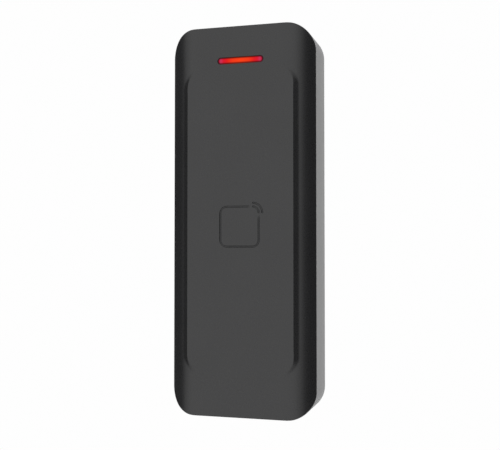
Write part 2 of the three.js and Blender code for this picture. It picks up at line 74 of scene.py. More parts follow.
# %% [markdown]
# ## Camera
# The reader is seen from its right and from a little below its middle, as in a catalogue picture. A lens of
# about 59 mm stands 27 cm from the wall, which is near enough for the long sides to draw together towards the
# far edge. The camera is turned by two angles only, about the upright and then about its own level axis, and
# never rolls.

# %% Camera
MM = 0.001
turn = 0.2785            # to the left, about Z
rise = 0.028             # upwards
place = Vector((0.0765, cad_low.y - 0.2549, -0.0089))

camera_data = bpy.data.cameras.new("camera")
camera_data.sensor_width = 36.0
camera_data.lens = 58.85
camera_data.clip_start = 0.01
camera = bpy.data.objects.new("camera", camera_data)
camera.matrix_world = (Matrix.Translation(place)
                       @ Matrix.Rotation(turn, 4, "Z")
                       @ Matrix.Rotation(math.pi / 2 + rise, 4, "X"))
bpy.context.collection.objects.link(camera)
bpy.context.scene.camera = camera
print("camera is", round(place.length * 1000), "mm from the middle of the wall plate")

# %% [markdown]
# ## Sizes of the shells
# The outside sizes come from the frame's boxes. What the boxes do not tell, such as the round of a shoulder,
# is named here once. A shoulder is an arc that starts level with the front and has fallen 5 mm where it meets
# the housing, so its radius follows from its run and its fall: (run² + fall²) / (2 · fall).

# %% Sizes
cover_low, cover_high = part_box("front_cover")
housing_low, housing_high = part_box("rear_housing")
half_w = cover_high.x
half_h = cover_high.z
front_y = cover_low.y
parting_y = housing_low.y
rear_y = housing_high.y
corner_r = 8.6 * MM
shoulder_run = 10.5 * MM
shoulder_fall = parting_y - front_y
shoulder_r = (shoulder_run ** 2 + shoulder_fall ** 2) / (2 * shoulder_fall)
flat_half = half_w - shoulder_run
panel_half = (18 * MM, 51 * MM)
panel_corner = 7 * MM
panel_slope = 1 / 1.28   # fall of the panel's edge for each metre outwards
edge_r = 0.3 * MM
edge_fade = 1.5 * MM     # the edge's round fades where less wall than this is left under it
crease_r = 0.12 * MM
print("shoulder radius", round(shoulder_r / MM, 2), "mm")

# %% [markdown]
# ## Distance fields
# The front is described by distances. For any point it is easy to say how far it lies from the edge of a
# rounded rectangle, and from that one number come the sloping edge of the raised panel, the engraved line of
# the tap symbol, the slot of the light bar and the soft edge at both ends. This is how a height map works,
# and it keeps every feature a formula instead of a list of points.

# %% Distance to a rounded rectangle
def rounded_rect(x, z, half_x, half_z, radius, centre_x=0.0, centre_z=0.0):
    """Signed distance to the outline: negative inside. Fold the point into one quarter, measure it from the
    centre of the corner's arc, and take the radius off."""
    qx = np.abs(x - centre_x) - (half_x - radius)
    qz = np.abs(z - centre_z) - (half_z - radius)
    outside = np.hypot(np.maximum(qx, 0), np.maximum(qz, 0))
    return outside + np.minimum(np.maximum(qx, qz), 0) - radius


def smooth(t):
    """A soft step: 0 below t = 0, 1 above t = 1, and 3t² - 2t³ between."""
    t = np.clip(t, 0, 1)
    return t * t * (3 - 2 * t)


def soft_min(a, b, blend):
    """The smaller of a and b, with a round of the size of blend where they cross."""
    h = np.clip(0.5 + 0.5 * (b - a) / blend, 0, 1)
    return b + (a - b) * h - blend * h * (1 - h)


# %% [markdown]
# ## The front cover's surface
# The cover is moulded in one shot, so panel, shoulders, slot and symbol are one skin. Its depth at a point is
# the smaller fall of two surfaces, the shoulders and the raised panel, blended by a small round, plus what is
# cut into it. The panel is level with the front. Where the shoulder still lies level with it the panel's edge
# fades away by itself, which gives the tapering ends of the two dark lines on the real cover.

# %% Depth of the front
bar_low, bar_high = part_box("light_bar")
bar_z = (bar_low.z + bar_high.z) / 2
slot_half = (7.76 * MM, 1.03 * MM)
slot_x = 0.28 * MM
slot_z = bar_z + 0.06 * MM
slot_depth = 1.9 * MM
symbol_z = -1.97 * MM
symbol_half = 6.8 * MM
symbol_corner = 2.4 * MM
symbol_line = 0.56 * MM
symbol_depth = 0.24 * MM
wave_r = 3.6 * MM
break_top = 0.8 * MM
break_side = 1.2 * MM


def shoulder_depth(x):
    """Fall of the shoulder below the front: the sagitta of its arc at the distance past the flat."""
    past = np.clip(np.abs(x) - flat_half, 0, shoulder_run)
    return shoulder_r - np.sqrt(shoulder_r ** 2 - past ** 2)


def symbol_distance(x, z):
    """Distance to the middle of the symbol's line: a rounded square broken on both sides of its upper right
    corner, and a quarter ring about that corner's centre."""
    square = np.abs(rounded_rect(x, z, symbol_half - symbol_line / 2, symbol_half - symbol_line / 2,
                                 symbol_corner - symbol_line / 2, 0, symbol_z))
    corner_x = symbol_half - symbol_corner
    corner_z = symbol_z + corner_x
    top_gap = (x > corner_x - break_top) & (x < corner_x) & (z > corner_z)
    side_gap = (z > corner_z - break_side) & (z < corner_z) & (x > corner_x)
    square = np.where(top_gap | side_gap, 1.0, square)
    ring = np.abs(np.hypot(x - corner_x, z - corner_z) - (wave_r - symbol_line / 2))
    ring = np.where((x > corner_x) & (z > corner_z), ring, 1.0)
    return np.minimum(square, ring)


def front_depth(x, z):
    """Fall of the finished front below its highest plane, in metres."""
    edge = rounded_rect(x, z, half_w, half_h, corner_r)
    shoulder = shoulder_depth(x)
    panel = np.maximum(rounded_rect(x, z, *panel_half, panel_corner), 0) * panel_slope
    fall = soft_min(shoulder, panel, crease_r) + crease_r / 4
    wall = np.clip((shoulder_fall - shoulder) / edge_fade, 0, 1)
    round_r = np.maximum(edge_r * wall, 1e-4 * MM)
    into = np.clip(round_r + edge, 0, round_r)
    fall = fall + round_r - np.sqrt(np.maximum(round_r ** 2 - into ** 2, 0))
    # The symbol's groove has a round bottom and soft lips: it is deepest up to 0.3 of its half width.
    line = symbol_distance(x, z) / (symbol_line / 2)
    fall = fall + symbol_depth * (1 - smooth((line - 0.3) / 0.95))
    # The slot's wall leans by 0.16 mm, about as much as a mould needs to let go.
    slot = rounded_rect(x, z, *slot_half, slot_half[1], slot_x, slot_z)
    fall = fall + slot_depth * (1 - smooth((slot + 0.10 * MM) / (0.16 * MM)))
    return fall


# %% [markdown]
# ## A grid that is fine only where it has to be
# A grid with even spacing would need millions of faces to show a line half a millimetre wide. The grid lines
# are gathered instead: close over the symbol, the slot and the panel's edge, wider over plain stretches. Near
# the ends each row is only as wide as the rounded outline is there, so the rim follows the corners.

# %% Grid lines
def stretch(start, stop, step):
    """Evenly spaced values from start up to but not including stop, no further apart than step."""
    count = max(1, math.ceil((stop - start) / step - 1e-9))
    return start + (stop - start) * np.arange(count) / count


def grid_lines(stops, steps):
    """One run of values: each stretch between two stops has its own step."""
    runs = [stretch(a, b, s) for a, b, s in zip(stops[:-1], stops[1:], steps)]
    return np.concatenate(runs + [np.array([stops[-1]])])


side_stops = np.array([0, 3.6, 8.3, 12, 17.6, 20.0, 24.0, 24.5]) * MM
side_steps = np.array([0.45, 0.08, 0.6, 0.45, 0.14, 0.4, 0.12]) * MM
right_half = grid_lines(side_stops, side_steps)
across = np.concatenate([-right_half[:0:-1], right_half]) / half_w

tall_stops = np.array([-64, -63.2, -60, -55.4, -51.5, -44, -9.2, -6.0, 1.8, 6.6, 44, 51.2, 54.0,
                       55.4, 60, 63.2, 64]) * MM
tall_steps = np.array([0.1, 0.35, 0.5, 0.5, 0.6, 3.5, 0.08, 0.8, 0.08, 3.5, 0.6, 0.11,
                       0.5, 0.5, 0.35, 0.1]) * MM
upwards = grid_lines(tall_stops, tall_steps)
print("front grid", across.size, "x", upwards.size)


def outline_half_width(z, inset=0.0):
    """Half the width of the rounded outline at height z: full between the corners, and in a corner the arc
    gives half width - r + sqrt(r² - (how far z has gone into the corner)²)."""
    r = corner_r - inset
    into = np.clip(np.abs(z) - (half_h - corner_r), 0, r)
    return half_w - corner_r + np.sqrt(r ** 2 - into ** 2)


# %% [markdown]
# ## From arrays to a mesh
# Every new piece is made the same way: arrays of points and faces go into a mesh in one call, sharp edges are
# marked by the angle between faces so that soft shapes stay soft, the piece is told which body it rides on
# and which finish it has, and the node it stands for is hidden.

# %% Mesh helpers
def grid_faces(rows, columns, closed=False, first=0):
    """Quads of a grid of points stored row by row. A closed grid joins its last column to its first."""
    j = np.arange(columns if closed else columns - 1)
    i = np.arange(rows - 1)[:, None] * columns
    nxt = (j + 1) % columns
    quads = np.stack([i + j, i + nxt, i + columns + nxt, i + columns + j], axis=-1)
    return (quads + first).reshape(-1, 4)


piece_slots = {}


def make_piece(name, points, faces, body, stands_for=None, slot=None, sharp=35, closed=True):
    """A mesh object from arrays, shaded smooth except across edges sharper than the given angle. A closed
    shape gets its faces turned outwards."""
    mesh = bpy.data.meshes.new(name)
    mesh.from_pydata(np.asarray(points, float).tolist(), [], [np.asarray(f).tolist() for f in faces])
    mesh.validate()
    if closed:
        shape = bmesh.new()
        shape.from_mesh(mesh)
        bmesh.ops.recalc_face_normals(shape, faces=shape.faces)
        shape.to_mesh(mesh)
        shape.free()
    mesh.shade_smooth()
    mesh.set_sharp_from_angle(angle=math.radians(sharp))
    piece = bpy.data.objects.new(name, mesh)
    bpy.context.collection.objects.link(piece)
    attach(piece, body)
    if stands_for:
        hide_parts(stands_for)
    if slot:
        piece_slots[name] = slot
    print(name, len(mesh.vertices), "points")
    return piece


def outline_loop(inset, corner_points=24):
    """Points x, z round the outer outline, drawn in by inset, anticlockwise as seen from the front."""
    r = corner_r - inset
    angle = np.linspace(0, math.pi / 2, corner_points)
    quarters = []
    for k, (sx, sz) in enumerate([(1, 1), (-1, 1), (-1, -1), (1, -1)]):
        a = angle + k * math.pi / 2
        quarters.append(np.stack([sx * (half_w - corner_r) + r * np.cos(a),
                                  sz * (half_h - corner_r) + r * np.sin(a)], axis=-1))
    return np.concatenate(quarters)


def band(profile, corner_points=24):
    """A closed band round the reader: a profile of (inset, depth) pairs carried along the outline."""
    loops = []
    for inset, depth in profile:
        loop = outline_loop(inset, corner_points)
        loops.append(np.column_stack([loop[:, 0], np.full(len(loop), depth), loop[:, 1]]))
    count = len(loops[0])
    return np.concatenate(loops), grid_faces(len(profile), count, closed=True)


# %% [markdown]
# ## The cover's skin
# The skin is the grid lifted by the depth formula, then a wall from its rim to the parting line, a small
# chamfer, and the flat face that meets the housing. The chamfers of cover and housing leave the fine dark
# line that every two-part case shows.

# %% Cover skin
seam = 0.14 * MM
rim_width = 2.3 * MM


def inward(x, z):
    """Unit direction from a point of the outline towards the inside: to the arc's centre in a corner, and
    straight in along a side."""
    dx = np.maximum(np.abs(x) - (half_w - corner_r), 0) * np.sign(x)
    dz = np.maximum(np.abs(z) - (half_h - corner_r), 0) * np.sign(z)
    size = np.maximum(np.hypot(dx, dz), 1e-9)
    return -dx / size, -dz / size


def cover_skin():
    """Points and faces of the cover's outside, from the grid to the face on the parting plane."""
    z = np.repeat(upwards[:, None], across.size, axis=1)
    x = across[None, :] * outline_half_width(upwards)[:, None]
    y = np.minimum(front_y + front_depth(x, z), parting_y - 0.01 * MM)
    rows, columns = x.shape
    points = np.stack([x, y, z], axis=-1).reshape(-1, 3)
    faces = grid_faces(rows, columns)
    index = np.arange(rows * columns).reshape(rows, columns)
    rim = np.concatenate([index[0, :-1], index[:-1, -1], index[-1, :0:-1], index[:0:-1, 0]])
    edge = points[rim]
    in_x, in_z = inward(edge[:, 0], edge[:, 2])
    lowest = np.maximum(edge[:, 1], parting_y - seam)
    loops = []
    for inset, depth in [(0, (edge[:, 1] + lowest) / 2), (0, lowest),
                         (seam, np.full(len(rim), parting_y)), (rim_width, np.full(len(rim), parting_y))]:
        loops.append(np.column_stack([edge[:, 0] + inset * in_x, depth, edge[:, 2] + inset * in_z]))
    count = len(rim)
    wall = grid_faces(len(loops), count, closed=True, first=len(points))[:, ::-1]
    j = np.arange(count)
    nxt = (j + 1) % count
    first = len(points)
    join = np.stack([rim[j], first + j, first + nxt, rim[nxt]], axis=-1)
    return np.concatenate([points] + loops), np.concatenate([faces, join, wall])


skin_points, skin_faces = cover_skin()
make_piece("cover_shell", skin_points, skin_faces, "reader_head", "front_cover", "charcoal_plastic",
           closed=False)

# %% [markdown]
# ## What is inside the shells
# Screw bosses, ribs, pegs and pockets are plain moulded shapes that the construction model already has right.
# They are taken over as they are: a copy of the node keeps only the faces that lie inside the new skin. It
# stands for the same node, so nothing of the real part is lost when the case is opened.

# %% Inner faces from the construction model
def inner_faces(node, name, keep, slot):
    """A copy of a node, merged, that holds only the faces whose middle passes the test keep(x, y, z)."""
    source = nodes[node].data
    count = len(source.vertices)
    points = np.empty(count * 3)
    source.vertices.foreach_get("co", points)
    points = points.reshape(-1, 3)
    faces = np.empty(len(source.polygons) * 3, int)
    source.loops.foreach_get("vertex_index", faces)
    faces = faces.reshape(-1, 3)
    unique, back = np.unique(np.round(points / (1e-3 * MM)).astype(int), axis=0, return_inverse=True)
    merged = unique * 1e-3 * MM
    faces = back.reshape(-1)[faces]
    middle = merged[faces].mean(axis=1)
    chosen = faces[keep(middle[:, 0], middle[:, 1], middle[:, 2])]
    used, renumbered = np.unique(chosen, return_inverse=True)
    return make_piece(name, merged[used], renumbered.reshape(-1, 3), "reader_head", node, slot, closed=False)


slot_zone = (8.2 * MM, 1.45 * MM)
slot_zone_depth = 1.95 * MM


def inside_cover(x, y, z):
    """Deeper than the skin, away from the outline and not part of the slot's own wall."""
    deep = y - front_y - shoulder_depth(x) > 0.6 * MM
    off_edge = rounded_rect(x, z, half_w, half_h, corner_r) < -rim_width + 0.05 * MM
    in_slot = rounded_rect(x, z, *slot_zone, slot_zone[1], 0, bar_z) < 0
    return deep & off_edge & ~(in_slot & (y < front_y + slot_zone_depth))


inner_faces("front_cover", "cover_bosses", inside_cover, "charcoal_plastic")

# %% [markdown]
# ## The rear housing
# The housing's side is a plain wall that follows the outline. It is a band: one closed profile, with the
# gasket's groove in its front edge and a rounded rear edge, carried once round the outline. The hole for the
# lock screw is then cut from below, as a drill and a counterbore would.

# %% Housing wall
housing_wall = 2.2 * MM
rear_round = 0.45 * MM
groove_start = 0.7 * MM
groove_end = 1.7 * MM
groove_depth = 0.9 * MM


def housing_profile():
    """Inset and depth round the wall's section: front edge with its groove, outside, rounded rear, inside."""
    angle = np.linspace(0, math.pi / 2, 6)
    rear = [(rear_round * (1 - math.cos(a)), rear_y - rear_round * (1 - math.sin(a))) for a in angle]
    return [
        (housing_wall, parting_y), (groove_end, parting_y), (groove_end, parting_y + groove_depth),
        (groove_start, parting_y + groove_depth), (groove_start, parting_y), (seam, parting_y),
        (0, parting_y + seam), (0, (parting_y + rear_y) / 2), *rear,
        (housing_wall, rear_y), (housing_wall, (parting_y + rear_y) / 2), (housing_wall, parting_y),
    ]


def welded(points, faces):
    """The same faces with points that coincide made one."""
    unique, back = np.unique(np.round(np.asarray(points) / (1e-4 * MM)).astype(np.int64), axis=0,
                             return_inverse=True)
    return unique * 1e-4 * MM, back.reshape(-1)[np.asarray(faces)]


def without_repeats(faces):
    """Each face with a corner that comes twice taken once, so that a quad on the axis becomes a triangle."""
    return [f[np.sort(np.unique(f, return_index=True)[1])] for f in faces]


def lathe(profile, centre, axis, sides=48):
    """A profile of (radius, height) turned round an axis through centre. The profile starts and ends on the
    axis or closes on itself."""
    turn_angle = np.linspace(0, 2 * math.pi, sides, endpoint=False)
    radius, height = np.array(profile, float).T
    a = radius[:, None] * np.cos(turn_angle)
    b = radius[:, None] * np.sin(turn_angle)
    h = np.repeat(height[:, None], sides, axis=1)
    grid = np.stack([a, h, -b] if axis == "Y" else [a, b, h], axis=-1) + np.array(centre)
    points, faces = welded(grid.reshape(-1, 3), grid_faces(len(profile), sides, closed=True))
    return points, without_repeats(faces)


def cut_from(piece, points, faces):
    """Cuts a closed shape out of a piece and keeps the result as its mesh."""
    cutter_mesh = bpy.data.meshes.new("cutter")
    cutter_mesh.from_pydata(points.tolist(), [], [f.tolist() for f in faces])
    cutter = bpy.data.objects.new("cutter", cutter_mesh)
    bpy.context.collection.objects.link(cutter)
    cut = piece.modifiers.new("cut", "BOOLEAN")
    cut.operation = "DIFFERENCE"
    cut.solver = "EXACT"
    cut.object = cutter
    shape = bpy.data.meshes.new_from_object(piece.evaluated_get(bpy.context.evaluated_depsgraph_get()))
    piece.modifiers.clear()
    piece.data = shape
    bpy.data.objects.remove(cutter)
    shape.shade_smooth()
    shape.set_sharp_from_angle(angle=math.radians(35))


screw_low, screw_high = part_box("lock_screw")
screw_y = (screw_low.y + screw_high.y) / 2
head_hole_r = 3.1 * MM
head_hole_depth = 1.8 * MM
shank_hole_r = 1.7 * MM
hole_chamfer = 0.2 * MM
underside = -half_h

wall_points, wall_faces = welded(*band(housing_profile(), corner_points=28))
housing = make_piece("housing_wall", wall_points, wall_faces[:, ::-1], "reader_head", "rear_housing",
                     "grey_plastic")
hole = [
    (0, underside - 2 * MM), (head_hole_r + hole_chamfer, underside - 2 * MM),
    (head_hole_r + hole_chamfer, underside - 0.02 * MM), (head_hole_r, underside + hole_chamfer),
    (head_hole_r, underside + head_hole_depth), (shank_hole_r, underside + head_hole_depth),
    (shank_hole_r, underside + 4 * MM), (0, underside + 4 * MM),
]
cut_from(housing, *lathe(hole, (0, screw_y, 0), "Z"))
print("housing wall has", len(housing.data.polygons), "faces")


def inside_housing(x, y, z):
    """Further in than the wall, whatever the depth."""
    return rounded_rect(x, z, half_w, half_h, corner_r) < -housing_wall - 0.05 * MM


inner_faces("rear_housing", "housing_floor", inside_housing, "grey_plastic")

# %% [markdown]
# ## Gasket
# The gasket is a rubber cord laid in the housing's groove, where the cover presses on it. It is the same kind
# of band as the wall: a small oval section carried once round the outline.

# %% Gasket
def section_loop(centre_inset, centre_depth, half_inset, half_depth, points=12):
    """A closed oval section: a circle stretched to the half sizes given."""
    angle = np.linspace(0, 2 * math.pi, points + 1)
    return [(centre_inset + half_inset * math.cos(a), centre_depth + half_depth * math.sin(a)) for a in angle]


cord = section_loop((groove_start + groove_end) / 2, parting_y + 0.4 * MM, 0.32 * MM, 0.38 * MM)
gasket_points, gasket_faces = welded(*band(cord, corner_points=16))
make_piece("gasket_cord", gasket_points, gasket_faces, "reader_head", "case_gasket", "black_rubber")

# %% [markdown]
# ## Light bar
# The light bar is a lens pressed in from behind. It has round ends, a slightly domed face just below the
# front, and a flange behind that stops it. Its face is a set of loops that shrink to a line, each a little
# further forward, which gives the dome.

# %% Light bar
bar_half_length = 7.72 * MM
bar_half_height = 0.98 * MM
bar_depth = 0.16 * MM
bar_dome = 0.1 * MM
flange_half = (8.85 * MM, 2.1 * MM)


def stadium(half_x, half_z, centre_z, sides=32):
    """Points x, z round a bar with round ends, half_x long and half_z high from its middle."""
    angle = np.linspace(0, math.pi, sides // 2)
    right = np.stack([half_x - half_z + half_z * np.sin(angle), half_z * np.cos(angle)], axis=-1)
    return np.concatenate([right, -right]) + np.array([slot_x, centre_z])


def light_bar_rings():
    """Half length, half height and depth of each loop, from the back of the flange to the middle of the
    face. The dome rises as 1 - (1 - t)², so it is steep at the rim and flat in the middle."""
    seat = front_y + 2 * MM
    rim = front_y + bar_depth
    rings = [(flange_half[0], 0.02 * MM, bar_high.y), (*flange_half, bar_high.y), (*flange_half, seat),
             (bar_half_length, bar_half_height, seat), (bar_half_length, bar_half_height, rim)]
    for t in np.linspace(0.15, 1, 8):
        shrink = bar_half_height * t * 0.98
        dome = bar_dome * (1 - (1 - t) ** 2)
        rings.append((bar_half_length - shrink, bar_half_height - shrink, rim - dome))
    return rings


def ringed(rings, centre_z):
    """Loops stacked in order and joined by quads, with the first and last loops closed by a face."""
    loops = []
    for half_x, half_z, depth in rings:
        loop = stadium(half_x, half_z, centre_z)
        loops.append(np.column_stack([loop[:, 0], np.full(len(loop), depth), loop[:, 1]]))
    count = len(loops[0])
    faces = list(grid_faces(len(rings), count, closed=True)[:, ::-1])
    last = (len(rings) - 1) * count
    faces.append(np.arange(count))
    faces.append(np.arange(last + count - 1, last - 1, -1))
    return np.concatenate(loops), faces


bar_points, bar_faces = ringed(light_bar_rings(), slot_z)
make_piece("light_bar_lens", bar_points, bar_faces, "reader_head", "light_bar", "red_lens", sharp=50)

# %% [markdown]
# ## Grommet
# The cable's inlet is a rubber ring with a flange on each side of the housing's floor. It is round, so it is
# a profile turned round its axis: pairs of radius and height, with the lips a little rounded.

# %% Grommet
def box_middle(node):
    """Middle, lowest corner and highest corner of a node's box."""
    low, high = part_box(node)
    return (low + high) / 2, low, high


grommet_middle, _, grommet_high = box_middle("cable_grommet")
floor_outside = grommet_high.y - 0.6 * MM
grommet_profile = [    # radius, and height from the floor's outside towards the wall, in mm
    (3.2, 0.45), (3.2, -2.5), (3.5, -2.7), (6.0, -2.66), (6.2, -2.4), (6.2, -1.5), (4.8, -1.5),
    (4.8, 0.0), (5.8, 0.0), (5.8, 0.4), (5.5, 0.58), (3.9, 0.6), (3.35, 0.58), (3.2, 0.45),
]
grommet_shape = lathe([(r * MM, floor_outside + h * MM) for r, h in grommet_profile],
                      (0, 0, grommet_middle.z), "Y")
make_piece("grommet", *grommet_shape, "reader_head", "cable_grommet", "black_rubber")

# %% [markdown]
# ## Lock screw
# The captive screw under the reader has a round head with a six-sided socket. Its rings are round except in
# the socket, where the radius changes with the angle as that of a hexagon does: apothem / cos(angle from the
# middle of the nearest side). A sunk hexagon made this way needs no cutting.

# %% Lock screw
def socket_screw(centre_x, centre_y, low_z, top_z, head_r, head_h, shank_r, apothem):
    """Head, hexagonal socket and shank: rings of radius and height whose socket rings are six-sided."""
    sides = 48
    angle = np.linspace(0, 2 * math.pi, sides, endpoint=False)
    hexagon = apothem / np.cos((angle + math.pi / 6) % (math.pi / 3) - math.pi / 6)
    around = np.ones(sides)
    chamfer = 0.2 * MM
    tip = 0.3 * MM
    socket_end = low_z + 1.1 * MM
    rings = [
        (0 * around, socket_end), (hexagon * 0.97, socket_end), (hexagon, low_z + 0.15 * MM),
        (hexagon + 0.1 * MM, low_z), ((head_r - chamfer) * around, low_z),
        (head_r * around, low_z + chamfer), (head_r * around, low_z + head_h),
        (shank_r * around, low_z + head_h), (shank_r * around, top_z - tip),
        ((shank_r - tip) * around, top_z), (0 * around, top_z),
    ]
    loops = [np.stack([centre_x + r * np.cos(angle), centre_y + r * np.sin(angle), z * around], axis=-1)
             for r, z in rings]
    points, faces = welded(np.concatenate(loops), grid_faces(len(rings), sides, closed=True))
    return points, without_repeats(faces)


screw_shape = socket_screw(0, screw_y, screw_low.z, screw_high.z, head_r=2.8 * MM, head_h=1.7 * MM,
                           shank_r=1.4 * MM, apothem=1.25 * MM)
make_piece("lock_screw_turned", *screw_shape, "reader_head", "lock_screw", "screw_steel")

# %% [markdown]
# ## Capacitors and buzzer
# An electrolytic capacitor is a drawn aluminium can with a waist rolled in near its board end, and the buzzer
# is a moulded cup with a sound hole in its face. Both are profiles turned round an axis that points at the
# front, and both take their length and radius from their box in the frame.

# %% Capacitors and buzzer
for number in (1, 2):
    middle, low, high = box_middle(f"capacitor_{number}")
    r = (high.x - low.x) / 2
    can_r = r - 0.1 * MM
    can = [
        (0, low.y), (r - 0.5 * MM, low.y), (can_r, low.y + 0.3 * MM), (can_r, high.y - 1.5 * MM),
        (r - 0.35 * MM, high.y - 1.25 * MM), (can_r, high.y - 1.0 * MM), (r, high.y - 0.9 * MM),
        (r, high.y), (0, high.y),
    ]
    make_piece(f"capacitor_can_{number}", *lathe(can, (middle.x, 0, middle.z), "Y"),
               "reader_head", f"capacitor_{number}", "silver_can")

middle, low, high = box_middle("buzzer")
r = (high.x - low.x) / 2
sound_hole_r = 0.8 * MM
cup = [
    (0, low.y + 1.2 * MM), (sound_hole_r, low.y + 1.2 * MM), (sound_hole_r, low.y), (r - 0.5 * MM, low.y),
    (r, low.y + 0.5 * MM), (r, high.y - 0.6 * MM), (r - 0.3 * MM, high.y), (0, high.y),
]
make_piece("buzzer_shell", *lathe(cup, (middle.x, 0, middle.z), "Y"), "reader_head", "buzzer", "chip_black")

# %% [markdown]
# ## Colour and node helpers
# Colours are noted as sRGB hex, as a designer would read them from a swatch, and Blender works in linear
# light, so one function turns one into the other. Every material is a small tree of nodes. One helper adds a
# node with its settings, its sockets' numbers and its links, and a material's own function says which.

# %% Helpers for materials
def linear(hex_colour):
    """sRGB hex to linear RGBA: each channel c becomes ((c + 0.055) / 1.055) to the power 2.4."""
    channels = [int(hex_colour[i:i + 2], 16) / 255 for i in (1, 3, 5)]
    return tuple(c / 12.92 if c <= 0.04045 else ((c + 0.055) / 1.055) ** 2.4 for c in channels) + (1.0,)


def wire(tree, node, links):
    """Links a node's sockets to their sources, each given as (node, output)."""
    for key, (source, output) in links.items():
        tree.links.new(source.outputs[output], node.inputs[key])


def add(tree, kind, values=None, links=None, **settings):
    """Adds a node: settings are its own properties, values its sockets' numbers, links their sources."""
    node = tree.nodes.new(kind)
    for key, value in settings.items():
        setattr(node, key, value)
    for key, value in (values or {}).items():
        node.inputs[key].default_value = value
    wire(tree, node, links or {})
    return node


def new_material(name, colour, rough, metal=0.0, **sockets):
    """A material with a Principled shader whose constants are set on its own sockets."""
    material = bpy.data.materials.new(name)
    material.use_nodes = True
    tree = material.node_tree
    shader = tree.nodes["Principled BSDF"]
    shader.inputs["Base Color"].default_value = linear(colour)
    shader.inputs["Roughness"].default_value = rough
    shader.inputs["Metallic"].default_value = metal
    for key, value in sockets.items():
        shader.inputs[key.replace("_", " ")].default_value = value
    place = add(tree, "ShaderNodeTexCoord")
    return material, tree, shader, place


NOISE_RANGE = {"From Min": 0.3, "From Max": 0.7}    # nearly all of a noise lies between these
materials = {}

# %% [markdown]
# ## Moulded plastics
# The cover is charcoal ABS from a tool whose steel was spark eroded. That leaves a fine even grain, so what
# the plastic reflects is soft and has no sharp outline. The housing is the same plastic in mid grey from a
# finer tool. The other mouldings inside, the rubber and the pressed ferrite differ in colour, gloss and depth
# of grain only, so one function makes them all. A noise of scale s has spots about 1 / (2s) wide. Real grain
# is about 0.1 mm; it is drawn at 0.22 mm so that it shows.

# %% Moulded plastics, rubber and ferrite
GRAIN = 0.22 * MM
DRIFT = 9 * MM


def moulded(name, dark, light, rough, spread, height):
    """Two sizes of grain: a fine one in bump and gloss, and a slow drift of colour across the moulding."""
    material, tree, shader, place = new_material(name, light, rough)
    fine = add(tree, "ShaderNodeTexNoise", {"Scale": 1 / (2 * GRAIN), "Detail": 3.0},
               {"Vector": (place, "Object")})
    broad = add(tree, "ShaderNodeTexNoise", {"Scale": 1 / (2 * DRIFT), "Detail": 2.0},
                {"Vector": (place, "Object")})
    share = add(tree, "ShaderNodeMapRange", NOISE_RANGE, {"Value": (broad, "Fac")})
    tint = add(tree, "ShaderNodeMix", {"A": linear(dark), "B": linear(light)},
               {"Factor": (share, "Result")}, data_type="RGBA")
    gloss = add(tree, "ShaderNodeMapRange",
                {**NOISE_RANGE, "To Min": rough - spread, "To Max": rough + spread}, {"Value": (fine, "Fac")})
    bump = add(tree, "ShaderNodeBump", {"Distance": height}, {"Height": (fine, "Fac")})
    wire(tree, shader, {"Base Color": (tint, "Result"), "Roughness": (gloss, "Result"),
                        "Normal": (bump, "Normal")})
    return material


mouldings = {
    # slot: name, darker and lighter colour, roughness, its spread, depth of the grain
    "charcoal_plastic": ("charcoal_spark_eroded_abs", "#1b1b1c", "#1e1e1f", 0.30, 0.04, 0.004 * MM),
    "grey_plastic": ("grey_fine_grained_abs", "#6e6e6e", "#747474", 0.42, 0.04, 0.010 * MM),
    "white_plastic": ("white_moulded_nylon", "#dcdcd6", "#e6e6e0", 0.45, 0.04, 0.010 * MM),
    "switch_blue": ("blue_moulded_nylon", "#1a4a86", "#1f5292", 0.45, 0.04, 0.008 * MM),
    "chip_black": ("black_moulded_epoxy", "#1a1a1c", "#212123", 0.55, 0.05, 0.012 * MM),
    "black_rubber": ("black_moulded_rubber", "#141414", "#1c1c1c", 0.78, 0.06, 0.015 * MM),
    "ferrite": ("sintered_ferrite", "#303033", "#3c3c40", 0.70, 0.06, 0.020 * MM),
}
for slot, finish in mouldings.items():
    materials[slot] = moulded(*finish)
print(len(materials), "moulded finishes")

# %% [markdown]
# ## The glowing light bar
# The bar is red polycarbonate with a fine diffuser in it, lit by three lamps. Where the light is strongest,
# in the middle, it looks orange; towards the ends it turns to a deeper red, and at the very rim the lens is
# dark because no lamp shines there. The pink just inside each end is a painted highlight: a reflection of the
# white room put into the glow's colour. The glow follows two distances on the bar itself: along it from the
# middle, and across it from its long axis.

# %% Light bar material
BAR_GLOW_AND_HIGHLIGHT = [
    # share of the half length, colour of the glow; the pink stop near the ends is a painted highlight
    (0.0, "#fa3c06"), (0.35, "#f03408"), (0.6, "#e01014"), (0.75, "#d60a28"), (0.87, "#c82c54"),
    (0.95, "#a80c30"), (1.0, "#60061a"),
]


